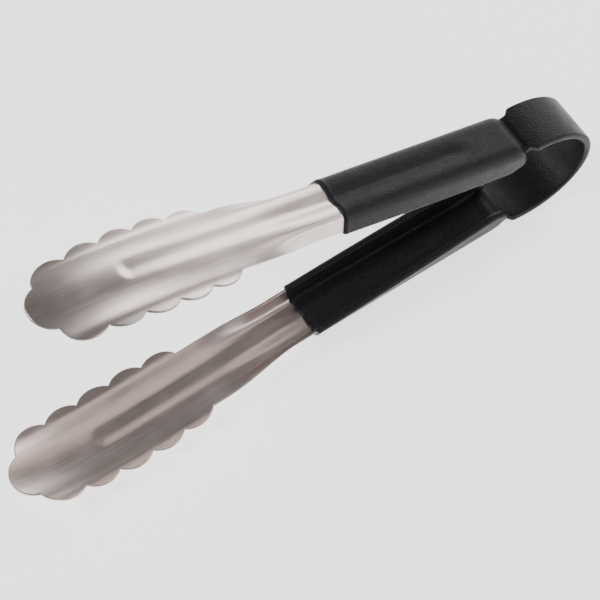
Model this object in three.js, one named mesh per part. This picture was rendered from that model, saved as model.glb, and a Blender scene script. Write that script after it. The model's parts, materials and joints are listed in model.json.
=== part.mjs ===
// Spring loaded kitchen tongs, as one pressed stainless strip with a soft dipped coating on its bow and grips.
//
// The strip runs from the tip of the lower head, back along the lower arm, round the bow and out along the
// upper arm. The bow is the spring: it bends all along its length, so that the arms turn against each other
// about a line inside its loop, and it is divided at the middle of its back into one half for each arm.
// Everything is first placed about the mirror plane between the two arms, then the whole model is tipped so
// that the lower arm lies on the floor.
//
// Millimetres, +Z up, X along the tongs towards the heads, Y across them.

import * as THREE from 'three';

const DEGREE = Math.PI / 180;

// ---- Driving dimensions ----

// Sheet and coating, measured through the thickness.
const SHEET_THICKNESS = 1.0;
const COAT_WALL = 0.7;
const COAT_CLEARANCE = 0.3;
const COAT_EDGE_WALL = 0.7;

// Bow: an ellipse in side view, given at the middle of the sheet.
const BOW_SEMI_LENGTH = 25.9;
const BOW_SEMI_HEIGHT = 22.1;
const BOW_CENTRE_X = -7.0;
const BOW_NECK_ANGLE = 78 * DEGREE;
const BOW_HALF_WIDTH = 9.35;
const BOW_SLIT = 0.36;
const BOW_STEPS = 16;

// Neck: the narrow crease where the bow meets an arm.
const NECK_HALF_WIDTH = 7.4;
const NECK_TAPER = 2.4;
const NECK_ROLL_END = 6.0;
const NECK_CREASE_DEPTH = 0.9;
const NECK_CREASE_LENGTH = 4.8;
const NECK_TURN_LENGTH = 5.5;
const FLANGE_START = 2.0;
const FLANGE_FOLD_LENGTH = 2.5;
const FLANGE_CORNER_LENGTH = 7.0;

// Arm in side view, measured along the handle line from the neck.
const ARM_LENGTH = 209.85;
const HANDLE_ANGLE = 9.6 * DEGREE;
const NECK_HEIGHT = 23.0;
const BEND_START = 80;
const BEND_END = 100;
const BEND_ANGLE = 2.75 * DEGREE;
const CURL_START = 140;
const CURL_DEPTH = 8.9;

// Channel section of the handle, at the neck and at the dip line where the coating ends.
const DIP_LINE = 85.9;
const FLAT_AT_NECK = 5.7;
const FLAT_AT_DIP = 6.1;
const FLANGE_AT_NECK = 6.6;
const FLANGE_AT_DIP = 4.1;
const FLANGE_ANGLE_AT_NECK = 88 * DEGREE;
const FLANGE_ANGLE_AT_DIP = 68 * DEGREE;
const SHOULDER_RADIUS = 3.0;

// Head: a shallow trough with a scalloped edge of ten side lobes and one tip lobe.
const TROUGH_START = 95;
const TROUGH_END = 128;
const TROUGH_RADIUS = 27.5;
const RIM_START = 11;
const RIM_END = 17;
const RIM_ANGLE = -6 * DEGREE;
const SIDE_LOBES = 5;
const HEAD_START = 132.5;
const LOBE_PITCH = 13.75;
const LOBE_RADIUS = 10.0;
const LOBE_STEPS = 6;
const TIP_LOBE_STEPS = 6;
const TIP_CHORD_HALF = 8.7;
const TIP_LOBE_RISE = 6.75;
const TIP_END_HALF = 0.9;
const NOTCH_HALF_WIDTHS = [12.9, 15.0, 15.6, 15.3, 14.5];

// Stiffening rib pressed towards the inside of each arm.
const RIB_START = 26;
const RIB_END = 171.5;
const RIB_HALF_WIDTH = 5.2;
const RIB_DEPTH = 1.1;
const RIB_DEPTH_IN_HEAD = 0.75;

// Fineness of the sections across the arm: points on each side of the middle, and the step of their sums.
const ACROSS_COUNT = 7;
const INTEGRATION_STEP = 0.2;

// ---- Sizes that follow from the driving dimensions ----

const COAT_INSIDE = SHEET_THICKNESS / 2 + COAT_CLEARANCE;
const COAT_OUTSIDE = COAT_INSIDE + COAT_WALL;
const COAT_EDGE_INSIDE = COAT_CLEARANCE;
const COAT_EDGE_OUTSIDE = COAT_CLEARANCE + COAT_EDGE_WALL;
const TIP_LOBE_START = ARM_LENGTH - TIP_LOBE_RISE;
const TIP_LOBE_RADIUS = (TIP_CHORD_HALF ** 2 + TIP_LOBE_RISE ** 2) / (2 * TIP_LOBE_RISE);

// ---- Small helpers ----

const clamp = (value, low, high) => Math.min(Math.max(value, low), high);
const mix = (from, to, share) => from + (to - from) * share;

function smoothStep(value, low, high) {
  const share = clamp((value - low) / (high - low), 0, 1);
  return share * share * (3 - 2 * share);
}

function hermite(share, startValue, startSlope, endValue, endSlope) {
  const square = share * share;
  const cube = square * share;
  return (2 * cube - 3 * square + 1) * startValue
    + (cube - 2 * square + share) * startSlope
    + (3 * square - 2 * cube) * endValue
    + (cube - square) * endSlope;
}

// ---- Side view: the middle line of the strip ----

// A point on the bow and the direction of the strip there, towards the upper arm.
function bowFrame(angle) {
  const tangentX = BOW_SEMI_LENGTH * Math.sin(angle);
  const tangentZ = -BOW_SEMI_HEIGHT * Math.cos(angle);
  return {
    x: BOW_CENTRE_X + BOW_SEMI_LENGTH * Math.cos(angle),
    z: BOW_SEMI_HEIGHT * Math.sin(angle),
    direction: Math.atan2(tangentZ, tangentX),
  };
}

const NECK = bowFrame(BOW_NECK_ANGLE);

// The neck seen from the handle line: distance along it, depth below it and slope against it.
const NECK_ALONG = NECK.x * Math.cos(HANDLE_ANGLE) + (NECK.z - NECK_HEIGHT) * Math.sin(HANDLE_ANGLE);
const NECK_DEPTH = NECK.x * Math.sin(HANDLE_ANGLE) - (NECK.z - NECK_HEIGHT) * Math.cos(HANDLE_ANGLE);
const NECK_SLOPE = Math.tan(HANDLE_ANGLE - NECK.direction);

// Depth of the middle line below the handle line, towards the other arm.
function centreDepth(along) {
  if (along < NECK_ROLL_END) {
    const length = NECK_ROLL_END - NECK_ALONG;
    const creaseShare = clamp((along - NECK_ALONG) / NECK_CREASE_LENGTH, 0, 1);
    const crease = NECK_CREASE_DEPTH * Math.sin(Math.PI * creaseShare) ** 2;
    return crease + hermite((along - NECK_ALONG) / length, NECK_DEPTH, NECK_SLOPE * length, 0, 0);
  }
  const bendLength = BEND_END - BEND_START;
  const intoBend = clamp(along - BEND_START, 0, bendLength);
  const pastBend = Math.max(along - BEND_END, 0);
  const outward = Math.tan(BEND_ANGLE) * (intoBend * intoBend / (2 * bendLength) + pastBend);
  const curl = Math.max(along - CURL_START, 0) / (ARM_LENGTH - CURL_START);
  return CURL_DEPTH * curl ** 3 - outward;
}

// Place and direction of a section across the upper arm.
function armFrame(along) {
  const depth = centreDepth(along);
  const turn = smoothStep(along, NECK_ALONG, NECK_ALONG + NECK_TURN_LENGTH);
  return {
    x: along * Math.cos(HANDLE_ANGLE) + depth * Math.sin(HANDLE_ANGLE),
    z: NECK_HEIGHT + along * Math.sin(HANDLE_ANGLE) - depth * Math.cos(HANDLE_ANGLE),
    direction: mix(NECK.direction, HANDLE_ANGLE, turn),
  };
}

// ---- Section across the arm, measured along the sheet from its middle ----

function flangeAngle(along) {
  const full = mix(FLANGE_ANGLE_AT_NECK, FLANGE_ANGLE_AT_DIP, clamp(along / DIP_LINE, 0, 1));
  return full * smoothStep(along, NECK_ALONG, NECK_ALONG + FLANGE_FOLD_LENGTH);
}

function flatHalfWidth(along) {
  return mix(FLAT_AT_NECK, FLAT_AT_DIP, clamp(along / DIP_LINE, 0, 1));
}

// Angle of the sheet in the head: round in the middle, and turned a little outwards again at the rim.
function troughAngle(distance) {
  return mix(distance / TROUGH_RADIUS, RIM_ANGLE, smoothStep(distance, RIM_START, RIM_END));
}

// Angle of the sheet against the back of the arm at a distance across it.
function sheetAngle(along, across) {
  const distance = Math.abs(across);
  const folded = clamp((distance - flatHalfWidth(along)) / SHOULDER_RADIUS, 0, flangeAngle(along));
  const troughShare = smoothStep(along, TROUGH_START, TROUGH_END);
  return Math.sign(across) * mix(folded, troughAngle(distance), troughShare);
}

function ribDepth(along, across) {
  const pastEnd = Math.max(RIB_START - along, along - RIB_END, 0);
  const distance = Math.hypot(across, pastEnd);
  if (distance >= RIB_HALF_WIDTH) {
    return 0;
  }
  const depth = mix(RIB_DEPTH, RIB_DEPTH_IN_HEAD, smoothStep(along, TROUGH_START, TROUGH_END));
  return depth * Math.cos(Math.PI * distance / (2 * RIB_HALF_WIDTH)) ** 2;
}

// A point of the section: sideways place and depth below the middle line.
function sectionPoint(along, across) {
  const steps = Math.max(1, Math.ceil(Math.abs(across) / INTEGRATION_STEP));
  const step = across / steps;
  let sideways = 0;
  let depth = 0;
  for (let i = 0; i < steps; i += 1) {
    const angle = sheetAngle(along, step * (i + 0.5));
    sideways += Math.cos(angle) * step;
    depth += Math.sin(angle) * step;
  }
  return { sideways, depth: depth + ribDepth(along, across) };
}

// ---- Outline of the flat strip: half its width at each distance along it ----

// Corners between the lobes of one side, from the root of the head to the tip lobe.
function notchCorners() {
  const corners = NOTCH_HALF_WIDTHS.map((half, i) => ({ along: HEAD_START + i * LOBE_PITCH, half }));
  corners.push({ along: TIP_LOBE_START, half: TIP_CHORD_HALF });
  return corners;
}

// Points on one lobe's arc, from its first corner up to, but not including, its second.
function lobeArc(from, to) {
  const chord = Math.hypot(to.along - from.along, to.half - from.half);
  const radius = Math.max(LOBE_RADIUS, chord / 2);
  const chordAngle = Math.atan2(to.half - from.half, to.along - from.along);
  const halfTurn = Math.asin(chord / (2 * radius));
  const toCentre = chordAngle + halfTurn - Math.PI / 2;
  const centreAlong = from.along + radius * Math.cos(toCentre);
  const centreHalf = from.half + radius * Math.sin(toCentre);
  const points = [];
  for (let i = 0; i < LOBE_STEPS; i += 1) {
    const angle = toCentre + Math.PI - 2 * halfTurn * i / LOBE_STEPS;
    points.push({ along: centreAlong + radius * Math.cos(angle), half: centreHalf + radius * Math.sin(angle) });
  }
  return points;
}

function tipArc() {
  const centre = ARM_LENGTH - TIP_LOBE_RADIUS;
  const first = Math.asin(TIP_CHORD_HALF / TIP_LOBE_RADIUS);
  const last = Math.asin(TIP_END_HALF / TIP_LOBE_RADIUS);
  const points = [];
  for (let i = 0; i <= TIP_LOBE_STEPS; i += 1) {
    const angle = mix(first, last, i / TIP_LOBE_STEPS);
    points.push({ along: centre + TIP_LOBE_RADIUS * Math.cos(angle), half: TIP_LOBE_RADIUS * Math.sin(angle) });
  }
  return points;
}

function headOutline() {
  const corners = notchCorners();
  const points = [];
  for (let i = 0; i < SIDE_LOBES; i += 1) {
    points.push(...lobeArc(corners[i], corners[i + 1]));
  }
  points.push(...tipArc());
  return points;
}

// Distance across the sheet, along the trough, that reaches a half width of the head.
function acrossTrough(half) {
  let across = 0;
  for (let sideways = 0; sideways < half; sideways += INTEGRATION_STEP) {
    const step = Math.min(INTEGRATION_STEP, half - sideways);
    across += step / Math.cos(troughAngle(across));
  }
  return across;
}

// Half the flat strip's width along the handle, with the flange's rounded corner at the neck.
function stripHalfWidth(along) {
  const atNeck = FLAT_AT_NECK + SHOULDER_RADIUS * FLANGE_ANGLE_AT_NECK + FLANGE_AT_NECK;
  const atDip = FLAT_AT_DIP + SHOULDER_RADIUS * FLANGE_ANGLE_AT_DIP + FLANGE_AT_DIP;
  const atHead = acrossTrough(NOTCH_HALF_WIDTHS[0]);
  if (along > DIP_LINE) {
    return mix(atDip, atHead, clamp((along - DIP_LINE) / (HEAD_START - DIP_LINE), 0, 1));
  }
  const full = mix(atNeck, atDip, clamp(along / DIP_LINE, 0, 1));
  const cornerShare = clamp((along - NECK_ALONG - FLANGE_START) / FLANGE_CORNER_LENGTH, 0, 1);
  return NECK_HALF_WIDTH + (full - NECK_HALF_WIDTH) * Math.sqrt(1 - (1 - cornerShare) ** 2);
}

// ---- Stations: the sections that a solid is lofted through ----

// Distances across the sheet, from the middle outwards, that follow the rib, the shoulder and the flange.
function acrossPlaces(along, halfWidth) {
  const flat = flatHalfWidth(along);
  const fold = SHOULDER_RADIUS * flangeAngle(Math.max(along, 0));
  const places = [RIB_HALF_WIDTH / 2, RIB_HALF_WIDTH, flat + 0.15 * fold, flat + 0.55 * fold, flat + fold];
  const lastPlace = places[places.length - 1];
  places.push((lastPlace + halfWidth) / 2, halfWidth);
  const narrow = Math.max(
    smoothStep(along, RIB_END, RIB_END + LOBE_PITCH),
    1 - smoothStep(along, NECK_ALONG, NECK_ALONG + FLANGE_CORNER_LENGTH),
  );
  return places.map((place, i) => mix(place, halfWidth * (i + 1) / ACROSS_COUNT, narrow));
}

// The sheet's middle line at one station, from one edge to the other, with the sheet's direction at each point.
function armStation(along, halfWidth) {
  const places = acrossPlaces(along, halfWidth);
  const across = [...places.map((place) => -place).reverse(), 0, ...places];
  const nudge = 0.02;
  const points = across.map((place) => {
    const point = sectionPoint(along, place);
    const before = sectionPoint(along, place - nudge);
    const after = sectionPoint(along, place + nudge);
    const angle = Math.atan2(after.depth - before.depth, after.sideways - before.sideways);
    return { ...point, angle };
  });
  return { frame: armFrame(along), points };
}

function bowStation(angle, halfWidth) {
  const points = [-1, 0, 1].map((share) => ({ sideways: share * halfWidth, depth: 0, angle: 0 }));
  return { frame: bowFrame(angle), points };
}

function toSpace(frame, sideways, depth) {
  return new THREE.Vector3(
    frame.x + depth * Math.sin(frame.direction),
    sideways,
    frame.z - depth * Math.cos(frame.direction),
  );
}

// The station's middle line moved off the sheet: outwards where the offset is negative, inwards where positive.
function offsetLine(station, offset, overhang) {
  const last = station.points.length - 1;
  return station.points.map((point, i) => {
    const reach = overhang * ((i === last ? 1 : 0) - (i === 0 ? 1 : 0));
    const sideways = point.sideways - offset * Math.sin(point.angle) + reach * Math.cos(point.angle);
    const depth = point.depth + offset * Math.cos(point.angle) + reach * Math.sin(point.angle);
    return toSpace(station.frame, sideways, depth);
  });
}

// A closed loop round the station's sheet at a distance from it, with a rounded edge on each side.
function loopAround(station, offset, overhang) {
  const roundShare = 0.45;
  const outer = offsetLine(station, -offset, overhang * roundShare);
  const inner = offsetLine(station, offset, overhang * roundShare).reverse();
  const middle = offsetLine(station, 0, overhang);
  return [...outer, middle[middle.length - 1], ...inner, middle[0]];
}

// ---- Solids ----

function signedVolume(points, triangles) {
  let total = 0;
  for (const [a, b, c] of triangles) {
    total += points[a].dot(new THREE.Vector3().crossVectors(points[b], points[c]));
  }
  return total / 6;
}

// A geometry of points and triangles whose faces all point outwards.
function solidGeometry(points, triangles) {
  const outward = signedVolume(points, triangles) > 0;
  const index = triangles.flatMap(([a, b, c]) => (outward ? [a, b, c] : [a, c, b]));
  const geometry = new THREE.BufferGeometry();
  geometry.setAttribute('position', new THREE.Float32BufferAttribute(points.flatMap((p) => [p.x, p.y, p.z]), 3));
  geometry.setIndex(index);
  geometry.computeVertexNormals();
  return geometry;
}

// Joins loops of equal length into a tube; the loops' point numbers start at an offset.
function tubeTriangles(loopCount, loopLength, offset, flip) {
  const triangles = [];
  for (let i = 0; i + 1 < loopCount; i += 1) {
    for (let j = 0; j < loopLength; j += 1) {
      const a = offset + i * loopLength + j;
      const b = offset + i * loopLength + (j + 1) % loopLength;
      const quad = [[a, b, b + loopLength], [a, b + loopLength, a + loopLength]];
      triangles.push(...quad.map(([p, q, r]) => (flip ? [p, r, q] : [p, q, r])));
    }
  }
  return triangles;
}

// A strip of sheet lofted through stations: a tube whose ends are closed across the thickness.
function sheetSolid(stations) {
  const loops = stations.map((station) => [
    ...offsetLine(station, -SHEET_THICKNESS / 2, 0),
    ...offsetLine(station, SHEET_THICKNESS / 2, 0).reverse(),
  ]);
  const length = loops[0].length;
  const triangles = tubeTriangles(loops.length, length, 0, false);
  const lastLoop = (loops.length - 1) * length;
  for (let j = 0; j + 1 < length / 2; j += 1) {
    const far = length - 1 - j;
    triangles.push([j, far, far - 1], [j, far - 1, j + 1]);
    triangles.push([lastLoop + j, lastLoop + far - 1, lastLoop + far]);
    triangles.push([lastLoop + j, lastLoop + j + 1, lastLoop + far - 1]);
  }
  return solidGeometry(loops.flat(), triangles);
}

// A sleeve of coating lofted round stations of the sheet, open at both ends.
function sleeveSolid(stations) {
  const outer = stations.map((station) => loopAround(station, COAT_OUTSIDE, COAT_EDGE_OUTSIDE));
  const inner = stations.map((station) => loopAround(station, COAT_INSIDE, COAT_EDGE_INSIDE));
  const length = outer[0].length;
  const innerStart = outer.length * length;
  const triangles = [
    ...tubeTriangles(outer.length, length, 0, false),
    ...tubeTriangles(inner.length, length, innerStart, true),
  ];
  const lastLoop = (outer.length - 1) * length;
  for (let j = 0; j < length; j += 1) {
    const next = (j + 1) % length;
    triangles.push([j, innerStart + next, next], [j, innerStart + j, innerStart + next]);
    const far = innerStart + lastLoop;
    triangles.push([lastLoop + j, lastLoop + next, far + next], [lastLoop + j, far + next, far + j]);
  }
  return solidGeometry([...outer.flat(), ...inner.flat()], triangles);
}

// The same solid on the other side of the mirror plane between the arms.
function mirrored(geometry) {
  const copy = geometry.clone();
  copy.scale(1, 1, -1);
  const index = copy.getIndex().array;
  for (let i = 0; i < index.length; i += 3) {
    [index[i + 1], index[i + 2]] = [index[i + 2], index[i + 1]];
  }
  copy.computeVertexNormals();
  return copy;
}

// ---- The sub-parts ----

// Places that shape the neck, the flange's rounded corner and the start of the rib.
function gripStations() {
  const start = NECK_ALONG + BOW_SLIT / 2;
  const fold = [0.5, 1].map((share) => NECK_ALONG + FLANGE_START * share);
  const corner = [0.025, 0.1, 0.25, 0.5, 1].map(
    (share) => NECK_ALONG + FLANGE_START + FLANGE_CORNER_LENGTH * share,
  );
  const ribEnd = [1, 0.55, 0].map((share) => RIB_START - RIB_HALF_WIDTH * share);
  return [start, ...fold, ...corner, ...ribEnd];
}

// Places along the arm, short of the head, that the sheet and its coating are both lofted through.
function armPlaces() {
  const bend = [0, 0.5, 1].map((share) => mix(BEND_START, BEND_END, share));
  const trough = [0.3, 0.5, 0.7, 1].map((share) => mix(TROUGH_START, TROUGH_END, share));
  return [...gripStations(), DIP_LINE, ...bend, ...trough].sort((a, b) => a - b);
}

function gripCoating() {
  const places = armPlaces().filter((along) => along <= DIP_LINE);
  return sleeveSolid(places.map((along) => armStation(along, stripHalfWidth(along))));
}

function steelArm() {
  const handle = armPlaces().map((along) => armStation(along, stripHalfWidth(along)));
  const head = headOutline().map((point) => armStation(point.along, acrossTrough(point.half)));
  return sheetSolid([...handle, ...head]);
}

// Half the strip's width on the upper half of the bow, narrowing at the neck.
function bowHalfWidth(angle) {
  const fromNeck = (angle - BOW_NECK_ANGLE) * BOW_SEMI_HEIGHT;
  return mix(NECK_HALF_WIDTH, BOW_HALF_WIDTH, smoothStep(fromNeck, 0, NECK_TAPER));
}

// Stations of the upper half of the bow, from the middle of its back round to the neck.
function bowStations() {
  const trim = BOW_SLIT / 2 / BOW_SEMI_HEIGHT;
  const back = Math.PI - trim;
  const neck = BOW_NECK_ANGLE + trim;
  const taperTurn = NECK_TAPER / BOW_SEMI_HEIGHT;
  const angles = [neck + taperTurn / 2, neck + taperTurn];
  for (let i = 0; i <= BOW_STEPS; i += 1) {
    angles.push(mix(back, neck, i / BOW_STEPS));
  }
  angles.sort((a, b) => b - a);
  return angles.map((angle) => bowStation(angle, bowHalfWidth(angle)));
}

const steelMaterial = new THREE.MeshStandardMaterial({ color: 0xb9b5b3, roughness: 0.34, metalness: 1.0 });
const coatingMaterial = new THREE.MeshStandardMaterial({ color: 0x17171a, roughness: 0.5, metalness: 0.0 });

function subPart(name, geometry, material) {
  const mesh = new THREE.Mesh(geometry, material);
  mesh.name = name;
  return mesh;
}

// A sub-part of the upper half and its mirror image in the lower half.
function bothHalves(name, geometry, material) {
  return [
    subPart(`upper_${name}`, geometry, material),
    subPart(`lower_${name}`, mirrored(geometry), material),
  ];
}

function makeTongs() {
  const bow = bowStations();
  const tongs = new THREE.Group();
  tongs.add(
    ...bothHalves('arm_steel', steelArm(), steelMaterial),
    ...bothHalves('bow_steel', sheetSolid(bow), steelMaterial),
    ...bothHalves('grip_coating', gripCoating(), coatingMaterial),
    ...bothHalves('bow_coating', sleeveSolid(bow), coatingMaterial),
  );
  return tongs;
}

// ---- Standing on the floor ----

// Lowest height, after tipping, of the points on one side of the neck.
function lowestPoint(tongs, tilt, isWanted) {
  let lowest = Infinity;
  for (const mesh of tongs.children) {
    const position = mesh.geometry.getAttribute('position');
    for (let i = 0; i < position.count; i += 1) {
      const x = position.getX(i);
      if (isWanted(x)) {
        const height = x * Math.sin(tilt) + position.getZ(i) * Math.cos(tilt);
        lowest = Math.min(lowest, height);
      }
    }
  }
  return lowest;
}

// The tilt that brings the bow and the lower head down to the same floor.
function restingTilt(tongs) {
  const onBow = (x) => x < NECK.x;
  const onHead = (x) => x > HEAD_START;
  const span = HEAD_START + LOBE_PITCH * SIDE_LOBES / 2 - BOW_CENTRE_X;
  let tilt = HANDLE_ANGLE;
  for (let round = 0; round < 40; round += 1) {
    const difference = lowestPoint(tongs, tilt, onBow) - lowestPoint(tongs, tilt, onHead);
    tilt += difference / span;
  }
  return tilt;
}

const tongs = makeTongs();
const tilt = restingTilt(tongs);
tongs.rotation.y = -tilt;
const standing = new THREE.Group();
standing.add(tongs);
const box = new THREE.Box3().setFromObject(standing, true);
standing.position.set(-(box.min.x + box.max.x) / 2, -(box.min.y + box.max.y) / 2, -box.min.z);

export default standing;
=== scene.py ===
"""Spring loaded kitchen tongs: the visible model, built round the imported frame.

The tongs are one pressed stainless strip, bent round at the bow, with a soft dipped
coating on the bow and both grips. The strip is described once, in millimetres, about
the mirror plane between the two arms. Each piece takes its own stretch of that strip
and is then tipped with the tongs onto the floor, in metres.
"""

import json
import logging
import math
from dataclasses import dataclass, field
from enum import Enum
from typing import Any

import bpy
import numpy as np
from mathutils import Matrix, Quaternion, Vector

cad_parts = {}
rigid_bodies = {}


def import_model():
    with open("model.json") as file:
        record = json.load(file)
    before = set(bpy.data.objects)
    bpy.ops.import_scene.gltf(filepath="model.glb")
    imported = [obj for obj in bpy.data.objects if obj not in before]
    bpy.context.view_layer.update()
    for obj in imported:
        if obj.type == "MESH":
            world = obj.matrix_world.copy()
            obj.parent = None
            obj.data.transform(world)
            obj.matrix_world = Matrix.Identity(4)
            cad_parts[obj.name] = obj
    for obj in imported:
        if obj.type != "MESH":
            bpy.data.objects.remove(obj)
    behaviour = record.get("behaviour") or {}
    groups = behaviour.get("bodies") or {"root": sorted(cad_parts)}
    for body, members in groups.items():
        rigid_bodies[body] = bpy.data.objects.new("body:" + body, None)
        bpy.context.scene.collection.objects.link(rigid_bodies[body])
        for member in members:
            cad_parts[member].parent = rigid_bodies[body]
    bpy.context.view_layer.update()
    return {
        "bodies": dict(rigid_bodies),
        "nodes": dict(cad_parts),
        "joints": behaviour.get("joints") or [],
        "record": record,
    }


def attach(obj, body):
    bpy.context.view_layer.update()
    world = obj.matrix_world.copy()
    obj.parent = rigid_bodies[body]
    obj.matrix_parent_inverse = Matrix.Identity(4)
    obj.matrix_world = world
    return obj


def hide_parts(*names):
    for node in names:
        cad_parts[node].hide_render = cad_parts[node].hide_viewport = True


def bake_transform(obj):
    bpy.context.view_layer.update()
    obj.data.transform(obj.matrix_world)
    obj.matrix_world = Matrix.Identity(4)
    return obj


LOG = logging.getLogger("tongs")
MILLIMETRE = 0.001
FLAT_MAP = "flat"
# Name of the mask of the sheet's cut edge, where painted shade darkens the steel.
PAINTED_SHADE_EDGE = "cut_edge"
FULL_TURN = 2 * math.pi
SHARP_ANGLE = math.radians(48)
Array = np.ndarray
Colour = tuple[float, float, float, float]


def grey(level: float) -> Colour:
    """A neutral colour."""
    return (level, level, level, 1.0)


def smooth_step(value: Array | float, low: float, high: float) -> Array:
    """A share that rises smoothly from 0 at low to 1 at high."""
    share = np.clip((np.asarray(value, float) - low) / (high - low), 0, 1)
    return share * share * (3 - 2 * share)


def between(start: Array | float, end: Array | float, share: Array | float) -> Any:
    """The value that lies a share of the way from start to end."""
    return start + (end - start) * share


class Side(Enum):
    """The two halves of the tongs; the value is the sign of their height."""

    UPPER = 1
    LOWER = -1

    @property
    def word(self) -> str:
        """The side as it stands in piece, node and body names."""
        return self.name.lower()

    @property
    def body(self) -> str:
        """The body that this half rides on."""
        return f"{self.word}_arm"


# ---------------------------------------------------------------- shader writing


class Wire:
    """A shader output that can be used in Python expressions on values."""

    def __init__(self, sheet: "ShaderSheet", socket: bpy.types.NodeSocket) -> None:
        """Wraps a socket.

        Args:
            sheet: The shader that the socket belongs to.
            socket: The output socket.
        """
        self.sheet = sheet
        self.socket = socket

    def maths(self, operation: str, *values: "Wire | float") -> "Wire":
        """Adds one Math node.

        Args:
            operation: The node's operation.
            values: Its inputs, in order.

        Returns:
            The node's result.
        """
        inputs = dict(enumerate(values))
        return self.sheet.node("ShaderNodeMath", {"operation": operation}, inputs)

    def __add__(self, other: "Wire | float") -> "Wire":
        """Sum."""
        return self.maths("ADD", self, other)

    def __sub__(self, other: "Wire | float") -> "Wire":
        """Difference."""
        return self.maths("SUBTRACT", self, other)

    def __rsub__(self, other: "Wire | float") -> "Wire":
        """Difference, with this value taken away."""
        return self.maths("SUBTRACT", other, self)

    def __mul__(self, other: "Wire | float") -> "Wire":
        """Product."""
        return self.maths("MULTIPLY", self, other)

    __radd__ = __add__
    __rmul__ = __mul__

    def step(self, low: float, high: float) -> "Wire":
        """A share that rises smoothly from 0 at low to 1 at high.

        Args:
            low: Where the rise starts.
            high: Where it ends.

        Returns:
            The share.
        """
        settings = {"interpolation_type": "SMOOTHSTEP"}
        return self.sheet.node(
            "ShaderNodeMapRange",
            settings,
            {"Value": self, "From Min": low, "From Max": high},
        )


class ShaderSheet:
    """A material's or the room's nodes."""

    def __init__(self, owner: bpy.types.Material | bpy.types.World) -> None:
        """Starts empty.

        Args:
            owner: What the nodes are for.
        """
        owner.use_nodes = True
        self.owner = owner
        self.tree = owner.node_tree
        self.tree.nodes.clear()

    @classmethod
    def named(cls, name: str) -> "ShaderSheet":
        """Starts a new material."""
        return cls(bpy.data.materials.new(name))

    def node(
        self,
        kind: str,
        settings: dict[str, Any] | None = None,
        inputs: dict[str | int, Any] | None = None,
        output: str | int = 0,
    ) -> Wire:
        """Adds a node.

        Args:
            kind: The node's type.
            settings: Its own settings, set before its inputs.
            inputs: Values or wires for its input sockets.
            output: The output that is wanted.

        Returns:
            The wanted output.
        """
        made = self.tree.nodes.new(kind)
        for name, value in (settings or {}).items():
            setattr(made, name, value)
        for name, value in (inputs or {}).items():
            if isinstance(value, Wire):
                self.tree.links.new(value.socket, made.inputs[name])
            else:
                made.inputs[name].default_value = value
        return Wire(self, made.outputs[output])

    def noise(self, place: Wire, scale: float, detail: float = 2.0) -> Wire:
        """Noise around 0.5.

        Args:
            place: The vector that it is read at.
            scale: Its number of features per unit.
            detail: Its number of finer octaves.

        Returns:
            The noise value.
        """
        return self.node(
            "ShaderNodeTexNoise",
            None,
            {"Vector": place, "Scale": scale, "Detail": detail},
        )

    def stretched(self, place: Wire, factors: tuple[float, float, float]) -> Wire:
        """A place multiplied along each of its axes.

        Args:
            place: The vector.
            factors: One factor for each axis.

        Returns:
            The multiplied vector.
        """
        return self.node(
            "ShaderNodeVectorMath", {"operation": "MULTIPLY"}, {0: place, 1: factors}
        )

    def mixed(self, share: Wire, first: Wire | Colour, second: Wire | Colour) -> Wire:
        """The colour that lies a share of the way from first to second."""
        sockets = {"Factor": share, 6: first, 7: second}
        return self.node("ShaderNodeMix", {"data_type": "RGBA"}, sockets, 2)

    def bumped(self, height: Wire, distance: float, strength: float) -> Wire:
        """A normal that is tilted by a height.

        Args:
            height: The height, as a share of distance.
            distance: The height of 1, in metres.
            strength: How much of the tilt is used.

        Returns:
            The normal.
        """
        sockets = {"Height": height, "Distance": distance, "Strength": strength}
        return self.node("ShaderNodeBump", None, sockets)

    def finished(self, sockets: dict[str, Any]) -> bpy.types.Material:
        """Ends the material in one surface shader.

        Args:
            sockets: Values or wires for the shader's sockets.

        Returns:
            The material.
        """
        surface = self.node("ShaderNodeBsdfPrincipled", None, sockets)
        self.shown("ShaderNodeOutputMaterial", surface)
        return self.owner

    def shown(self, kind: str, surface: Wire) -> None:
        """Joins a shader to an output node of a kind."""
        output = self.tree.nodes.new(kind)
        self.tree.links.new(surface.socket, output.inputs["Surface"])


# ---------------------------------------------------------------- finishes


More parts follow.
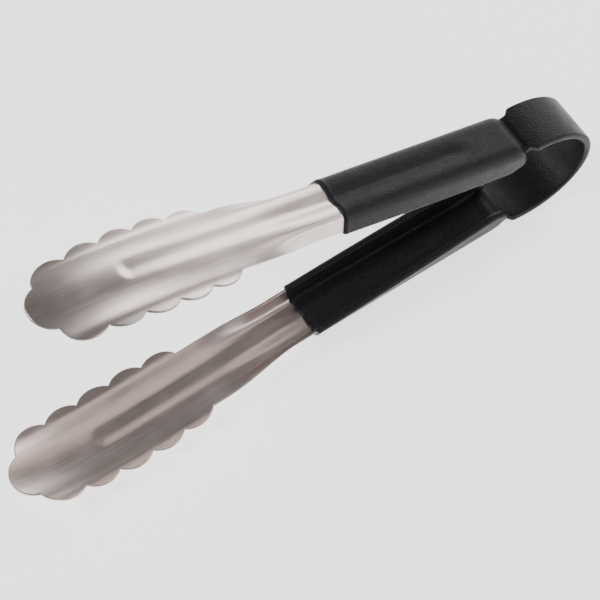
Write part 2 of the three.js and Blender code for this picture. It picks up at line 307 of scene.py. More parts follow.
@dataclass(frozen=True)
class BrushedSteel:
    """Stainless sheet with a satin grain along the arm, and painted shade on its cut
    edge.
    """

    light: Colour = (0.76, 0.660, 0.630, 1.0)
    dark: Colour = (0.53, 0.440, 0.410, 1.0)
    # Painted shade: the cut edge is painted this dark in place of the shadowed floor
    # that it reflects.
    cut_edge: Colour = (0.16, 0.145, 0.135, 1.0)
    roughness: float = 0.33
    grain: tuple[float, float] = (0.05, 5.0)
    grain_depth: float = 0.00002
    grain_bump: float = 0.6
    streaks: tuple[float, float] = (0.03, 0.9)
    clouds: float = 0.06
    tone_of_grain: float = 0.4
    tone_of_streaks: float = 0.3
    tone_of_clouds: float = 0.3
    tone_range: tuple[float, float] = (0.3, 0.7)
    grain_roughness: float = 0.16
    cloud_roughness: float = 0.12
    cut_roughness: float = 0.12

    def material(self) -> bpy.types.Material:
        """Makes the steel.

        Returns:
            The material, which reads the sheet's own flat map in millimetres.
        """
        sheet = ShaderSheet.named("brushed_steel")
        place = sheet.node("ShaderNodeUVMap", {"uv_map": FLAT_MAP})
        grain = sheet.noise(sheet.stretched(place, (*self.grain, 1.0)), 1.0, 3.0)
        streaks = sheet.noise(sheet.stretched(place, (*self.streaks, 1.0)), 1.0)
        clouds = sheet.noise(place, self.clouds)
        tone = streaks * self.tone_of_streaks + grain * self.tone_of_grain
        tone = tone + clouds * self.tone_of_clouds
        colour = sheet.mixed(tone.step(*self.tone_range), self.dark, self.light)
        # The cut edge mask mixes in the painted shade colour, and adds roughness
        # there.
        attribute = {"attribute_name": PAINTED_SHADE_EDGE}
        cut = sheet.node("ShaderNodeAttribute", attribute, None, "Fac")
        colour = sheet.mixed(cut, colour, self.cut_edge)
        roughness = (grain - 0.5) * self.grain_roughness + self.roughness
        roughness = roughness + (clouds - 0.5) * self.cloud_roughness
        roughness = roughness + cut * self.cut_roughness
        return sheet.finished(
            {
                "Base Color": colour,
                "Metallic": 1.0,
                "Roughness": roughness,
                "Normal": sheet.bumped(grain, self.grain_depth, self.grain_bump),
            }
        )


@dataclass(frozen=True)
class DippedVinyl:
    """Soft black dipped coating with a finely pebbled skin."""

    dark: Colour = (0.0092, 0.0086, 0.0104, 1.0)
    light: Colour = (0.0165, 0.0156, 0.0182, 1.0)
    roughness: float = 0.40
    gloss: float = 0.15
    pebbles_per_millimetre: float = 1.25
    pebble_depth: float = 0.00030
    pebble_bump: float = 0.8
    pebble_roughness: float = 0.15
    pebble_range: tuple[float, float] = (0.35, 0.7)
    waves_per_millimetre: float = 0.16
    wave_height: float = 0.8
    wave_roughness: float = 0.2

    def material(self) -> bpy.types.Material:
        """Makes the coating.

        Returns:
            The material, which reads the coating's own flat map in millimetres.
        """
        sheet = ShaderSheet.named("dipped_vinyl")
        place = sheet.node("ShaderNodeUVMap", {"uv_map": FLAT_MAP})
        pebbles = sheet.noise(place, self.pebbles_per_millimetre, 3.0)
        waves = sheet.noise(place, self.waves_per_millimetre)
        height = pebbles + waves * self.wave_height
        colour = sheet.mixed(pebbles.step(*self.pebble_range), self.dark, self.light)
        roughness = (waves - 0.5) * self.wave_roughness + self.roughness
        roughness = roughness + (pebbles - 0.5) * self.pebble_roughness
        return sheet.finished(
            {
                "Base Color": colour,
                "Roughness": roughness,
                "Specular IOR Level": self.gloss,
                "Normal": sheet.bumped(height, self.pebble_depth, self.pebble_bump),
            }
        )


@dataclass(frozen=True)
class PaleFloor:
    """A plain pale floor that glows a little."""

    colour: Colour = grey(0.92)
    roughness: float = 0.9
    glow: float = 1.6

    def material(self) -> bpy.types.Material:
        """Makes the floor's material.

        Returns:
            The material.
        """
        sheet = ShaderSheet.named("pale_floor")
        return sheet.finished(
            {
                "Base Color": self.colour,
                "Roughness": self.roughness,
                "Emission Color": grey(1.0),
                "Emission Strength": self.glow,
            }
        )


# ---------------------------------------------------------------- the pressed strip


@dataclass(frozen=True)
class Frame:
    """Where sections of the strip stand, in side view."""

    x: Array
    z: Array
    direction: Array


@dataclass(frozen=True)
class Strip:
    """The shape of the sheet, in millimetres, for the upper half of the tongs.

    Along is the distance along the handle line from the neck. Across is the distance
    over the sheet from its middle. Depth is measured from the handle line towards the
    other arm.
    """

    half_thickness: float = 0.5

    bow_semi_length: float = 25.9
    bow_semi_height: float = 22.1
    bow_centre: float = -7.0
    bow_neck_angle: float = math.radians(78)
    bow_half_width: float = 9.35

    neck_half_width: float = 7.4
    neck_taper: float = 2.4
    neck_roll_end: float = 6.0
    neck_crease_depth: float = 0.9
    neck_crease_length: float = 4.8
    neck_turn_length: float = 5.5
    flange_start: float = 2.0
    flange_fold_length: float = 2.5
    flange_corner_length: float = 7.0

    arm_length: float = 209.85
    handle_angle: float = math.radians(9.6)
    neck_height: float = 23.0
    bend_start: float = 80.0
    bend_end: float = 100.0
    bend_angle: float = math.radians(2.75)
    curl_start: float = 140.0
    curl_depth: float = 8.9

    dip_line: float = 85.9
    flat_at_neck: float = 5.7
    flat_at_dip: float = 6.1
    flange_at_neck: float = 6.6
    flange_at_dip: float = 4.1
    flange_angle_at_neck: float = math.radians(88)
    flange_angle_at_dip: float = math.radians(68)
    shoulder_radius: float = 3.0

    trough_start: float = 95.0
    trough_end: float = 128.0
    trough_radius: float = 27.5
    rim_start: float = 11.0
    rim_end: float = 17.0
    rim_angle: float = math.radians(-6)
    head_start: float = 132.5
    lobe_pitch: float = 13.75
    lobe_radius: float = 10.0
    tip_chord_half: float = 8.7
    tip_rise: float = 6.75
    notch_half_widths: tuple[float, ...] = (12.9, 15.0, 15.6, 15.3, 14.5)

    rib_start: float = 26.0
    rib_end: float = 171.5
    rib_run_in: float = 6.0
    rib_run_in_slope: float = 0.42
    rib_half_width: float = 5.2
    rib_depth: float = 1.1
    rib_depth_in_head: float = 0.75
    rib_probe: float = 0.02

    widest: float = 30.0
    fine_step: float = 0.05
    tip_gap: float = 0.006

    # ---- side view

    def bow_frame(self, angle: Array | float) -> Frame:
        """Sections of the bow at angles round its ellipse.

        Args:
            angle: Angles from the upper neck round to the lower one.

        Returns:
            Where the sections stand.
        """
        along_x = self.bow_semi_length * np.sin(angle)
        along_z = -self.bow_semi_height * np.cos(angle)
        return Frame(
            self.bow_centre + self.bow_semi_length * np.cos(angle),
            self.bow_semi_height * np.sin(angle),
            np.arctan2(along_z, along_x),
        )

    def neck(self) -> Frame:
        """The section where the bow meets the arm."""
        return self.bow_frame(self.bow_neck_angle)

    def neck_along(self) -> float:
        """The neck's place along the handle line.

        Returns:
            Its distance, a little before 0.
        """
        neck, angle = self.neck(), self.handle_angle
        rise = neck.z - self.neck_height
        return float(neck.x * math.cos(angle) + rise * math.sin(angle))

    def centre_depth(self, along: Array) -> Array:
        """Depth of the sheet's middle line, from the handle line to the other arm.

        Args:
            along: Distances along the arm.

        Returns:
            The depths.
        """
        neck, start = self.neck(), self.neck_along()
        angle, rise = self.handle_angle, neck.z - self.neck_height
        first = neck.x * math.sin(angle) - rise * math.cos(angle)
        length = self.neck_roll_end - start
        slope = math.tan(self.handle_angle - neck.direction) * length
        share = np.clip((along - start) / length, 0, 1)
        rolled = (2 * share**3 - 3 * share**2 + 1) * first
        rolled = rolled + (share**3 - 2 * share**2 + share) * slope
        crease = np.clip((along - start) / self.neck_crease_length, 0, 1)
        rolled = rolled + self.neck_crease_depth * np.sin(math.pi * crease) ** 2
        bend = self.bend_end - self.bend_start
        into = np.clip(along - self.bend_start, 0, bend)
        past = np.maximum(along - self.bend_end, 0)
        outward = math.tan(self.bend_angle) * (into * into / (2 * bend) + past)
        curl = np.maximum(along - self.curl_start, 0)
        curl = curl / (self.arm_length - self.curl_start)
        return rolled + self.curl_depth * curl**3 - outward

    def arm_frame(self, along: Array) -> Frame:
        """Sections of the arm at distances along it.

        Args:
            along: Distances along the arm.

        Returns:
            Where the sections stand.
        """
        start, depth = self.neck_along(), self.centre_depth(along)
        turn = smooth_step(along, start, start + self.neck_turn_length)
        cosine, sine = math.cos(self.handle_angle), math.sin(self.handle_angle)
        return Frame(
            along * cosine + depth * sine,
            self.neck_height + along * sine - depth * cosine,
            between(self.neck().direction, self.handle_angle, turn),
        )

    # ---- section across the arm

    def grip_share(self, along: Array) -> Array:
        """Share of the way from the neck to the dip line."""
        return np.clip(along / self.dip_line, 0, 1)

    def sheet_angle(self, along: Array, across: Array) -> Array:
        """Angle of the sheet against the arm's back.

        Args:
            along: Distances along the arm.
            across: Distances over the sheet, one for each along.

        Returns:
            The angles, which have the sign of across.
        """
        distance = np.abs(across)
        share, start = self.grip_share(along), self.neck_along()
        fold = between(self.flange_angle_at_neck, self.flange_angle_at_dip, share)
        fold = fold * smooth_step(along, start, start + self.flange_fold_length)
        flat = between(self.flat_at_neck, self.flat_at_dip, share)
        folded = np.clip((distance - flat) / self.shoulder_radius, 0, fold)
        rim = smooth_step(distance, self.rim_start, self.rim_end)
        trough = between(distance / self.trough_radius, self.rim_angle, rim)
        headed = smooth_step(along, self.trough_start, self.trough_end)
        return np.sign(across) * between(folded, trough, headed)

    def rib(self, along: Array, across: Array) -> Array:
        """Depth of the pressed rib.

        Args:
            along: Distances along the arm.
            across: Distances over the sheet, one for each along.

        Returns:
            The depths.
        """
        before = (self.rib_start + self.rib_run_in - along) * self.rib_run_in_slope
        past = np.maximum(np.maximum(before, along - self.rib_end), 0)
        distance = np.minimum(np.hypot(across, past), self.rib_half_width)
        wave = np.cos(math.pi * distance / (2 * self.rib_half_width)) ** 2
        headed = smooth_step(along, self.trough_start, self.trough_end)
        return between(self.rib_depth, self.rib_depth_in_head, headed) * wave

    def section(
        self, along: Array, across: Array, steps: int = 64
    ) -> tuple[Array, ...]:
        """Points of the section across the arm.

        Args:
            along: Distances along the arm.
            across: Distances over the sheet, one for each along.
            steps: Number of steps in the sum over the sheet.

        Returns:
            Sideways places, depths, and angles of the sheet.
        """
        middles = (np.arange(steps) + 0.5) / steps
        angles = self.sheet_angle(along[..., None], across[..., None] * middles)
        sideways = np.cos(angles).mean(-1) * across
        depth = np.sin(angles).mean(-1) * across + self.rib(along, across)
        probe = self.rib_probe
        rise = self.rib(along, across + probe) - self.rib(along, across - probe)
        here = self.sheet_angle(along, across)
        angle = np.arctan2(np.sin(here) + rise / (2 * probe), np.cos(here))
        return sideways, depth, angle

    # ---- outline of the flat sheet

    def head_outline(self, lobe_steps: int, tip_steps: int) -> Array:
        """Scalloped edge of the head from its root to its tip.

        Args:
            lobe_steps: Number of points on each side lobe.
            tip_steps: Number of points on half the tip lobe.

        Returns:
            Rows of distance along the arm and half width.
        """
        tip_start = self.arm_length - self.tip_rise
        corners = [
            (self.head_start + i * self.lobe_pitch, half)
            for i, half in enumerate(self.notch_half_widths)
        ]
        corners.append((tip_start, self.tip_chord_half))
        points = []
        for (from_along, from_half), (to_along, to_half) in zip(corners, corners[1:]):
            run, rise = to_along - from_along, to_half - from_half
            chord = math.hypot(run, rise)
            radius = max(self.lobe_radius, chord / 2)
            half_turn = math.asin(chord / (2 * radius))
            to_centre = math.atan2(rise, run) + half_turn - math.pi / 2
            centre = (
                from_along + radius * math.cos(to_centre),
                from_half + radius * math.sin(to_centre),
            )
            turned = 2 * half_turn * np.arange(lobe_steps) / lobe_steps
            points.append(self.arc(centre, radius, to_centre + math.pi - turned))
        radius = (self.tip_chord_half**2 + self.tip_rise**2) / (2 * self.tip_rise)
        first_turn = math.asin(self.tip_chord_half / radius)
        turns = np.linspace(first_turn, self.tip_gap, tip_steps)
        points.append(self.arc((self.arm_length - radius, 0.0), radius, turns))
        return np.concatenate(points)

    @staticmethod
    def arc(centre: tuple[float, float], radius: float, turns: Array) -> Array:
        """Points on a circle at the given turns."""
        along = centre[0] + radius * np.cos(turns)
        return np.stack([along, centre[1] + radius * np.sin(turns)], 1)

    def across_trough(self, half: Array) -> Array:
        """Distance over the sheet, across the trough, that reaches a half width.

        Args:
            half: Half widths.

        Returns:
            The distances.
        """
        step = self.fine_step
        across = np.arange(0, self.widest, step)
        rim = smooth_step(across + step / 2, self.rim_start, self.rim_end)
        angles = between((across + step / 2) / self.trough_radius, self.rim_angle, rim)
        reached = np.concatenate([[0], np.cumsum(np.cos(angles) * step)])
        return np.interp(half, reached, np.append(across, self.widest))

    def half_width(self, along: Array) -> Array:
        """Half the flat strip's width between the neck and the root of the head.

        Args:
            along: Distances along the arm.

        Returns:
            The half widths.
        """
        at_neck = self.flat_at_neck + self.flange_at_neck
        at_neck += self.shoulder_radius * self.flange_angle_at_neck
        at_dip = self.flat_at_dip + self.flange_at_dip
        at_dip += self.shoulder_radius * self.flange_angle_at_dip
        at_head = float(self.across_trough(np.array(self.notch_half_widths[0])))
        past = (along - self.dip_line) / (self.head_start - self.dip_line)
        full = between(at_neck, at_dip, self.grip_share(along))
        full = full + (at_head - at_dip) * np.clip(past, 0, 1)
        corner = along - self.neck_along() - self.flange_start
        corner = np.clip(corner / self.flange_corner_length, 0, 1)
        corner = np.sqrt(1 - (1 - corner) ** 2)
        return self.neck_half_width + (full - self.neck_half_width) * corner

    def bow_half(self, angle: Array) -> Array:
        """Half the strip's width round the bow, narrowing at both necks.

        Args:
            angle: Angles round the bow.

        Returns:
            The half widths.
        """
        turn = np.minimum(angle, FULL_TURN - angle) - self.bow_neck_angle
        share = smooth_step(turn * self.bow_semi_height, 0, self.neck_taper)
        return between(self.neck_half_width, self.bow_half_width, share)


@dataclass(frozen=True)
class Stand:
    """How the tongs stand: tipped onto the lower arm, with the joint in its place."""

    hinge: Vector
    tilt: float = math.radians(9.96101)
    hinge_along: float = -22.1

    def placed(self, points: Array, side: Side = Side.UPPER) -> Array:
        """Puts points of the strip where the tongs stand.

        Args:
            points: Places about the mirror plane, in millimetres.
            side: The half that they belong to.

        Returns:
            The places where the tongs stand, in metres.
        """
        x, y = points[..., 0] - self.hinge_along, points[..., 1]
        z = points[..., 2] * side.value
        cosine, sine = math.cos(self.tilt), math.sin(self.tilt)
        tipped = np.stack([x * cosine - z * sine, y, x * sine + z * cosine], -1)
        return tipped * MILLIMETRE + np.array(self.hinge)


# ---------------------------------------------------------------- mesh writing


@dataclass
class Loft:
    """Rings of points joined into a closed surface, with a flat map in millimetres."""

    rings: Array
    flat: Array
    joined_ends: bool
    # Share of painted shade at each point, kept as a mesh attribute for the steel.
    cut: Array | None = None

    def faces(self) -> tuple[list[tuple[int, ...]], list[tuple[float, float]]]:
        """Joins the rings.

        Returns:
            The faces, and the flat map's place for each of their corners.
        """
        count, length = self.rings.shape[:2]
        faces, places = [], []
        for i in range(count if self.joined_ends else count - 1):
            k = (i + 1) % count
            for j in range(length):
                m = (j + 1) % length
                here, there = i * length, k * length
                faces.append((here + j, here + m, there + m, there + j))
                corners = ((i, j), (i, j + 1), (k, j + 1), (k, j))
                places.extend(tuple(self.flat[row, column]) for row, column in corners)
        if not self.joined_ends:
            for i in (0, count - 1):
                order = range(length) if i else reversed(range(length))
                face = tuple(i * length + j for j in order)
                faces.append(face)
                places.extend(tuple(self.flat[i, j - i * length]) for j in face)
        return faces, places

    def build(
        self, name: str, material: bpy.types.Material, outward: int
    ) -> bpy.types.Object:
        """Makes the object.

        Args:
            name: The piece's name.
            material: What it is made of.
            outward: 1 or -1, whichever turns its faces outwards.

        Returns:
            The object, linked to the scene.
        """
        faces, places = self.faces()
        if outward < 0:
            turned, moved, start = [], [], 0
            for face in faces:
                turned.append(face[::-1])
                moved.extend(places[start : start + len(face)][::-1])
                start += len(face)
            faces, places = turned, moved
        mesh = bpy.data.meshes.new(name)
        mesh.from_pydata(self.rings.reshape(-1, 3).tolist(), [], faces)
        layer = mesh.uv_layers.new(name=FLAT_MAP)
        layer.data.foreach_set("uv", np.array(places, np.float32).ravel())
        # The mask of painted shade on the cut edge.
        if self.cut is not None:
            values = np.broadcast_to(self.cut, self.rings.shape[:2])
            attribute = mesh.attributes.new(PAINTED_SHADE_EDGE, "FLOAT", "POINT")
            attribute.data.foreach_set("value", values.astype(np.float32).ravel())
        mesh.shade_smooth()
        mesh.set_sharp_from_angle(angle=SHARP_ANGLE)
        mesh.materials.append(material)
        made = bpy.data.objects.new(name, mesh)
        bpy.context.scene.collection.objects.link(made)
        return made


@dataclass(frozen=True)
class SheetEdge:
    """The rounded cut edge: how far in and how far off the sheet's middle points lie,
    and how much painted shade each takes.
    """

    insets: tuple[float, ...] = (0.26, 0.08, 0.0, 0.0, 0.08, 0.26)
    offsets: tuple[float, ...] = (-1.0, -0.84, -0.42, 0.42, 0.84, 1.0)
    # Share of painted shade at each point of the edge.
    cuts: tuple[float, ...] = (0.0, 0.3, 1.0, 1.0, 0.3, 0.0)


def shares(count: int, margin: Array) -> Array:
    """Even shares from -1 to 1 with one more close to each end.

    Args:
        count: Number of even shares.
        margin: How far from the end the extra share lies, for each row.

    Returns:
        One row of shares for each margin.
    """
    even = np.linspace(-1, 1, count)
    margin = np.minimum(margin, 1 / (count - 1))[:, None]
    middle = np.repeat(even[None, 1:-1], len(margin), 0)
    ones = np.ones_like(margin)
    return np.concatenate([-ones, margin - 1, middle, 1 - margin, ones], 1)


@dataclass
class Section:
    """Builds rings round the sheet, at any distance off it."""

    strip: Strip

    def off_sheet(
        self, frame: Frame, points: tuple[Array, ...], offset: Array, reach: Array
    ) -> Array:
        """Points off the sheet's middle.

        Args:
            frame: Where the sections stand.
            points: Sideways places, depths and angles of the sheet.
            offset: Distance off the sheet, towards the other arm.
            reach: Distance past the sheet's edge, towards its right.

        Returns:
            Places about the mirror plane.
        """
        sideways, depth, angle = points
        sideways = sideways - offset * np.sin(angle) + reach * np.cos(angle)
        depth = depth + offset * np.cos(angle) + reach * np.sin(angle)
        x = frame.x + depth * np.sin(frame.direction)
        z = frame.z - depth * np.cos(frame.direction)
        return np.stack(np.broadcast_arrays(x, sideways, z), -1)


def around(rings: Array, along: Array) -> Array:
    """A flat map of rings.

    Args:
        rings: The rings' points.
        along: The distance along the strip of each point.

    Returns:
        The distance along and round of each point, and of the first again at the end.
    """
    closed = np.concatenate([rings, rings[:, :1]], 1)
    steps = np.linalg.norm(np.diff(closed, axis=1), axis=2)
    round_places = np.concatenate([np.zeros((len(rings), 1)), np.cumsum(steps, 1)], 1)
    round_places = round_places - round_places[:, [rings.shape[1] // 4]]
    along = np.concatenate([along, along[:, :1]], 1)
    return np.stack([along, round_places], 2)


# ---------------------------------------------------------------- sub-assemblies


@dataclass
class ArmSteel:
    """The pressed sheet of one arm, from the neck to the scalloped head's tip."""

    strip: Strip
    stand: Stand
    finish: BrushedSteel = field(default_factory=BrushedSteel)
    edge: SheetEdge = field(default_factory=SheetEdge)
    columns: int = 49
    lobe_steps: int = 16
    tip_steps: int = 26
    bare_step: float = 1.0
    covered_step: float = 3.0
    neck_gap: float = 0.2
    under_lip: float = 2.0
    margin: float = 0.2
    least_half: float = 0.02
    map_shift: float = 400.0

    def outline(self) -> tuple[Array, Array]:
        """The sheet's edge.

        Returns:
            Rows of distance along and across, and the outward direction at each.
        """
        strip = self.strip
        start = strip.neck_along() + self.neck_gap
        bare, end = strip.dip_line - self.under_lip, strip.head_start
        covered = np.arange(start, bare, self.covered_step)
        open_part = np.arange(bare, end - self.bare_step / 2, self.bare_step)
        handle = np.concatenate([covered, open_part])
        head = strip.head_outline(self.lobe_steps, self.tip_steps)
        along = np.concatenate([handle, head[:, 0]])
        halves = [strip.half_width(handle), strip.across_trough(head[:, 1])]
        across = np.concatenate(halves)
        edge = np.stack([along, across], 1)
        steps = np.diff(edge, axis=0)
        steps /= np.linalg.norm(steps, axis=1)[:, None]
        tangent = np.concatenate([steps[:1], steps[:-1] + steps[1:], [[0.0, -1.0]]])
        tangent /= np.linalg.norm(tangent, axis=1)[:, None]
        return edge, np.stack([-tangent[:, 1], tangent[:, 0]], 1)

    def rings(self) -> tuple[Array, Array]:
        """Rings round the sheet.

        Returns:
            The rings about the mirror plane, and their flat map.
        """
        edge, outward = self.outline()
        places, offsets = [], []
        for inset, offset in zip(self.edge.insets, self.edge.offsets):
            place = edge - outward * inset
            place[:, 1] = np.maximum(place[:, 1], self.least_half)
            places.append(place)
            offsets.append(offset * self.strip.half_thickness)
        first, last = places[0], places[-1]
        spread = shares(self.columns, self.margin / first[:, 1])
        edges = list(zip(places, offsets))
        parts = [(first, spread, offsets[0])]
        parts += [(place, 1.0, offset) for place, offset in edges[1:-1]]
        parts += [(last, -spread, offsets[-1])]
        parts += [(place, -1.0, offset) for place, offset in edges[-2:0:-1]]
        columns = []
        for place, share, offset in parts:
            over = share * place[:, 1:]
            along = np.repeat(place[:, :1], over.shape[1], 1)
            columns.append((along, over, np.full_like(over, offset)))
        along, across, off = (np.concatenate(rows, 1) for rows in zip(*columns))
        points = self.strip.section(along, across)
        rings = Section(self.strip).off_sheet(
            self.strip.arm_frame(along), points, off, np.zeros_like(off)
        )
        flat = np.stack([along, across], 2)
        return rings, np.concatenate([flat, flat[:, :1]], 1)

    def build(self, side: Side) -> bpy.types.Object:
        """Makes one arm.

        Args:
            side: The half that it belongs to.

        Returns:
            The arm, riding on its body.
        """
        rings, flat = self.rings()
        shift = np.array([self.map_shift if side is Side.LOWER else 0.0, 0.0])
        # Painted shade mask round each ring: none on the sheet's faces, most on its
        # cut edge.
        surface = np.zeros(self.columns + 2)
        edge = np.array(self.edge.cuts[1:-1])
        cut = np.concatenate([surface, edge, surface, edge])
        loft = Loft(self.stand.placed(rings, side), flat + shift, False, cut)
        material = self.finish.material()
        piece = loft.build(f"{side.word}_arm_sheet", material, -side.value)
        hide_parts(f"{side.word}_arm_steel")
        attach(piece, side.body)
        return piece


@dataclass
class Coating:
    """The dipped skin: rings round the sheet, a wall's thickness off it."""

    strip: Strip
    stand: Stand
    finish: DippedVinyl = field(default_factory=DippedVinyl)
    outside: float = 1.5
    overhang: float = 1.0
    inside: float = 0.56
    inside_overhang: float = 0.12
    lip_length: float = 0.8
    bead: float = 0.12
    columns: int = 45
    edge_steps: int = 9
    margin: float = 0.3

    def wall(self, half: Array, offset: Array, overhang: Array) -> tuple[Array, ...]:
        """One wall of the skin, as distances over, off and past the sheet.

        Args:
            half: Half the sheet's width at each ring.
            offset: The wall's distance off the sheet's middle at each ring.
            overhang: Its distance past the sheet's edge at each ring.

        Returns:
            Across, offset and reach for each point of each ring.
        """
        spread = shares(self.columns, self.margin / half)
        turns = np.linspace(0, math.pi, self.edge_steps + 2)[1:-1]
        ones, none = np.ones((len(half), len(turns))), np.zeros_like(spread)
        half, offset, overhang = half[:, None], offset[:, None], overhang[:, None]
        side, edge = offset * np.cos(turns), overhang * np.sin(turns)
        across = [spread * half, ones * half, -spread * half, -ones * half]
        off = [none - offset, -side, none + offset, side]
        reach = [none, edge, none, -edge]
        return tuple(np.concatenate(parts, 1) for parts in (across, off, reach))

    def sleeve(self, outer: tuple[Array, Array], inner: tuple[Array, Array]) -> tuple:
        """Joins an outer and an inner wall.

        Args:
            outer: The outer wall's rings and their distances along.
            inner: The inner wall's rings and their distances along.

        Returns:
            All rings in order, and their flat map.
        """
        rings = np.concatenate([outer[0], inner[0][::-1]])
        flat = [around(*outer), around(*inner)[::-1]]
        return rings, np.concatenate(flat)


@dataclass
class GripSkin(Coating):
    """The coating on one grip, from the neck to the rolled lip at the dip line."""

    rows: int = 96
    neck_rows: int = 34
    neck_length: float = 14.0
    neck_crowding: float = 1.3
    lip_rows: int = 17
    lip_reach: float = 2.6
    lip_thickness: float = 0.04
    lip_overhang: float = 0.03
    bead_place: float = 1.3
    bead_spread: float = 0.8

    def places(self) -> Array:
        """Distances along the arm of the rings.

        Returns:
            The distances, closer together at the neck and at the lip.
        """
        start, end = self.strip.neck_along(), self.strip.dip_line
        share = np.linspace(0, 1, self.neck_rows) ** self.neck_crowding
        neck = start + self.neck_length * share
        lip_start = end - self.lip_reach
        grip = np.linspace(start + self.neck_length, lip_start, self.rows)[1:]
        turns = np.linspace(0, math.pi / 2, self.lip_rows + 1)[1:]
        lip = end - self.lip_reach * np.cos(turns)
        return np.concatenate([neck, grip, lip])

    def walls(self, along: Array, outer: bool) -> tuple[Array, Array]:
        """Rings of one wall.

        Args:
            along: Distances along the arm.
            outer: Whether it is the outer wall.

        Returns:
            The rings, and the distance along of each point.
        """
        if outer:
            short = self.strip.dip_line - along
            rolled = np.sqrt(1 - (1 - np.clip(short / self.lip_length, 0, 1)) ** 2)
            swell = np.exp(-(((short - self.bead_place) / self.bead_spread) ** 2))
            bead = self.bead * swell * rolled
            thin = self.inside + self.lip_thickness
            narrow = self.inside_overhang + self.lip_overhang
            offset = between(thin, self.outside, rolled) + bead
            overhang = between(narrow, self.overhang, rolled) + bead
        else:
            offset = np.full_like(along, self.inside)
            overhang = np.full_like(along, self.inside_overhang)
        across, off, reach = self.wall(self.strip.half_width(along), offset, overhang)
        along = np.repeat(along[:, None], across.shape[1], 1)
        points = self.strip.section(along, across)
        frame = self.strip.arm_frame(along)
        return Section(self.strip).off_sheet(frame, points, off, reach), along

    def build(self, side: Side) -> bpy.types.Object:
        """Makes one grip's coating.

        Args:
            side: The half that it belongs to.

        Returns:
            The coating, riding on its body.
        """
        along = self.places()
        rings, flat = self.sleeve(self.walls(along, True), self.walls(along, False))
        flat = flat * np.array([side.value, 1.0])
        loft = Loft(self.stand.placed(rings, side), flat, joined_ends=True)
        material = self.finish.material()
        piece = loft.build(f"{side.word}_grip_skin", material, -side.value)
        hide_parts(f"{side.word}_grip_coating")
        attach(piece, side.body)
        return piece


@dataclass
class BowSkin(Coating):
    """The coating on the bow, round the strip inside it."""

    rows: int = 151
    neck_crowding: float = 0.75
    flex_height: float = 19.9
    spring_trim: float = 0.008
    spring_edge: float = 0.1

    def flex_points(self) -> tuple[Vector, Vector]:
        """Where the flexing starts, at the lower arm, and ends, at the upper arm.

        Returns:
            The two points.
        """
        middle, height = self.strip.bow_centre, self.flex_height
        ends = np.array([[middle, 0, -height], [middle, 0, height]])
        low, high = self.stand.placed(ends)
        return Vector(low), Vector(high)

    def flexed(
        self, piece: bpy.types.Object, slot: str, *nodes: str
    ) -> bpy.types.Object:
        """Bakes a piece of the bow into place and hides the parts that it is drawn in
        place of.

        Args:
            piece: The piece.
            slot: Not used.
            nodes: The parts that it is drawn in place of.

        Returns:
            The piece.
        """
        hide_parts(*nodes)
        low, high = self.flex_points()
        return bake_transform(piece)

    def angles(self, trim: float = 0.0) -> Array:
        """Angles round the bow, closer together at the necks.

        Args:
            trim: How far the strip is cut back at both necks.

        Returns:
            The angles.
        """
        share = np.linspace(0, 1, self.rows)
        crowded = np.sin(FULL_TURN * share) / FULL_TURN
        share = share - self.neck_crowding * crowded
        neck = self.strip.bow_neck_angle + trim
        return between(neck, FULL_TURN - neck, share)

    def rings(self, angle: Array, wall: tuple[Array, ...]) -> tuple[Array, Array]:
        """Rings of the bow.

        Args:
            angle: Angles round the bow.
            wall: Across, offset and reach for each point of each ring.

        Returns:
            The rings, and the distance along the strip of each point.
        """
        across, off, reach = wall
        frame = self.strip.bow_frame(angle[:, None] + np.zeros_like(across))
        flat = (across, np.zeros_like(across), np.zeros_like(across))
        rings = Section(self.strip).off_sheet(frame, flat, off, reach)
        length = (angle - math.pi) * self.strip.bow_semi_height
        return rings, np.repeat(length[:, None], across.shape[1], 1)

    def build(self) -> bpy.types.Object:
        """Makes the bow's coating.

        Returns:
            The coating.
        """
        angle = self.angles()
        half = self.strip.bow_half(angle)
        ones = np.ones_like(half)
        outer = self.wall(half, ones * self.outside, ones * self.overhang)
        inner = self.wall(half, ones * self.inside, ones * self.inside_overhang)
        rings, flat = self.sleeve(self.rings(angle, outer), self.rings(angle, inner))
        loft = Loft(self.stand.placed(rings), flat, joined_ends=True)
        piece = loft.build("bow_skin", self.finish.material(), 1)
        return self.flexed(piece, "coating", "upper_bow_coating", "lower_bow_coating")

    def build_spring(self, steel: BrushedSteel) -> bpy.types.Object:
        """Makes the steel of the bow, inside its coating.

        Args:
            steel: The strip's finish.

        Returns:
            The spring.
        """
        angle = self.angles(self.spring_trim)
        half = self.strip.bow_half(angle)
        thickness = np.full_like(half, self.strip.half_thickness)
        wall = self.wall(half, thickness, thickness * self.spring_edge)
        rings, along = self.rings(angle, wall)
        flat = around(rings, along)
        loft = Loft(self.stand.placed(rings), flat, joined_ends=False)
        piece = loft.build("bow_spring", steel.material(), 1)
        return self.flexed(piece, "steel", "upper_bow_steel", "lower_bow_steel")


# ---------------------------------------------------------------- studio


@dataclass
class Softbox:
    """A large rectangular lamp that points at the tongs."""

    name: str
    place: tuple[float, float, float]
    size: tuple[float, float]
    power: float
    colour: tuple[float, float, float] = (1.0, 1.0, 1.0)

    def build(self, target: Vector) -> bpy.types.Object:
        """Makes the lamp, pointing at a target.

        Args:
            target: Where it points.

        Returns:
            The lamp.
        """
        lamp = bpy.data.lights.new(self.name, "AREA")
        lamp.shape = "RECTANGLE"
        lamp.size, lamp.size_y = self.size
        lamp.energy = self.power
        lamp.color = self.colour
        made = bpy.data.objects.new(self.name, lamp)
        made.location = self.place
        made.rotation_mode = "QUATERNION"
        aim = target - Vector(self.place)
        made.rotation_quaternion = aim.to_track_quat("-Z", "Y")
        bpy.context.scene.collection.objects.link(made)
        return made


COOL_WHITE = (0.93, 0.96, 1.0)


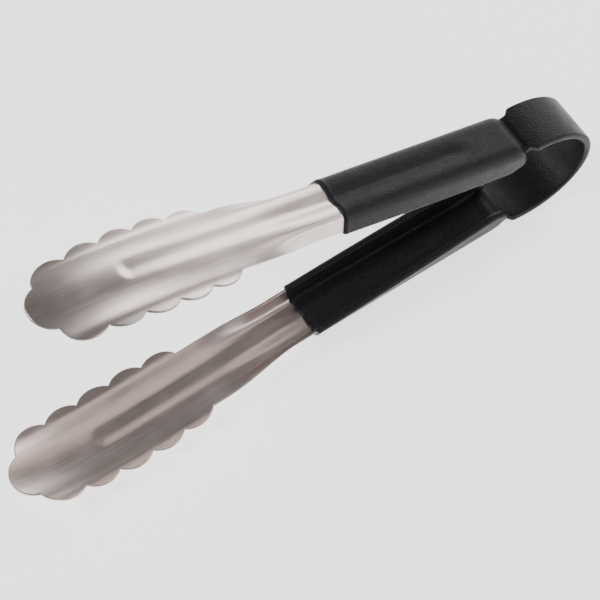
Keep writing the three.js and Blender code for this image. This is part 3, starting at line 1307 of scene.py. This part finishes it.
@dataclass
class Studio:
    """The camera, the floor, the lamps and the room's own light."""

    target: Vector = field(default_factory=lambda: Vector((0.00963, 0.01430, 0.04858)))
    azimuth: float = math.radians(146.877)
    elevation: float = math.radians(61.844)
    roll: float = math.radians(-0.838)
    distance: float = 0.9287
    lens: float = 158.71
    sensor: float = 36.0
    clips: tuple[float, float] = (0.01, 20.0)
    far_wall_light: float = 0.24
    near_wall_light: float = 0.25
    wall_turn: tuple[float, float] = (-0.1, 0.85)
    ceiling_light: float = 0.16
    ceiling_turn: tuple[float, float] = (0.1, 0.95)
    floor_reach: float = 4.0
    floor_drop: float = 0.0002
    lamps: tuple[Softbox, ...] = (
        Softbox("back_softbox", (-1.10, -0.74, 0.55), (1.2, 0.5), 9.5),
        Softbox("front_softbox", (1.00, -0.52, 0.80), (0.45, 0.45), 12.0, COOL_WHITE),
        Softbox("near_high_softbox", (-0.78, 0.46, 0.98), (0.6, 0.4), 4.4),
        Softbox("near_low_softbox", (-0.62, 1.10, 0.45), (1.0, 0.5), 7.0),
    )

    def camera(self) -> bpy.types.Object:
        """Makes the camera.

        Returns:
            The camera, which is the scene's own.
        """
        data = bpy.data.cameras.new("camera")
        data.lens, data.sensor_width = self.lens, self.sensor
        data.clip_start, data.clip_end = self.clips
        made = bpy.data.objects.new("camera", data)
        level, rise = math.cos(self.elevation), math.sin(self.elevation)
        sideways, forward = math.sin(self.azimuth), -math.cos(self.azimuth)
        back = Vector((sideways * level, forward * level, rise))
        made.location = self.target + back * self.distance
        made.rotation_mode = "QUATERNION"
        turn = Quaternion((0, 0, 1), self.roll)
        made.rotation_quaternion = (-back).to_track_quat("-Z", "Y") @ turn
        bpy.context.scene.collection.objects.link(made)
        bpy.context.scene.camera = made
        return made

    def floor(self) -> bpy.types.Object:
        """Makes the floor.

        Returns:
            The floor.
        """
        reach = self.floor_reach
        corners = [(-reach, -reach), (reach, -reach), (reach, reach), (-reach, reach)]
        mesh = bpy.data.meshes.new("floor")
        mesh.from_pydata([(*corner, 0) for corner in corners], [], [(0, 1, 2, 3)])
        mesh.materials.append(PaleFloor().material())
        made = bpy.data.objects.new("floor", mesh)
        made.location.z = -self.floor_drop
        bpy.context.scene.collection.objects.link(made)
        return made

    def room(self) -> bpy.types.World:
        """Makes the room's light, which is soft and dimmer overhead.

        Returns:
            The scene's world.
        """
        world = bpy.data.worlds.new("room")
        sheet = ShaderSheet(world)
        place = sheet.node("ShaderNodeTexCoord", None, None, "Generated")
        height = sheet.node("ShaderNodeSeparateXYZ", None, {0: place}, "Z")
        nearness = sheet.node("ShaderNodeSeparateXYZ", None, {0: place}, "Y")
        far, near = grey(self.far_wall_light), grey(self.near_wall_light)
        walls = sheet.mixed(nearness.step(*self.wall_turn), far, near)
        ceiling = grey(self.ceiling_light)
        light = sheet.mixed(height.step(*self.ceiling_turn), walls, ceiling)
        background = sheet.node("ShaderNodeBackground", None, {0: light})
        sheet.shown("ShaderNodeOutputWorld", background)
        bpy.context.scene.world = world
        return world

    def build(self) -> None:
        """Makes everything but the camera."""
        self.floor()
        self.room()
        for lamp in self.lamps:
            lamp.build(self.target)


def main() -> None:
    """Builds the tongs round the frame and reports each piece."""
    logging.basicConfig(level=logging.INFO, format="%(message)s")
    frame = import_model()
    studio = Studio()
    studio.camera()
    hinge = next(joint for joint in frame["joints"] if joint["name"] == "bow_flex")
    strip, stand = Strip(), Stand(Vector(hinge["pos_m"]))
    arms, grips = ArmSteel(strip, stand), GripSkin(strip, stand)
    bow = BowSkin(strip, stand)
    pieces = [bow.build(), bow.build_spring(arms.finish)]
    for side in Side:
        pieces += [arms.build(side), grips.build(side)]
    studio.build()
    for piece in pieces:
        LOG.info("%s: %d faces", piece.name, len(piece.data.polygons))


if __name__ == "__main__":
    main()
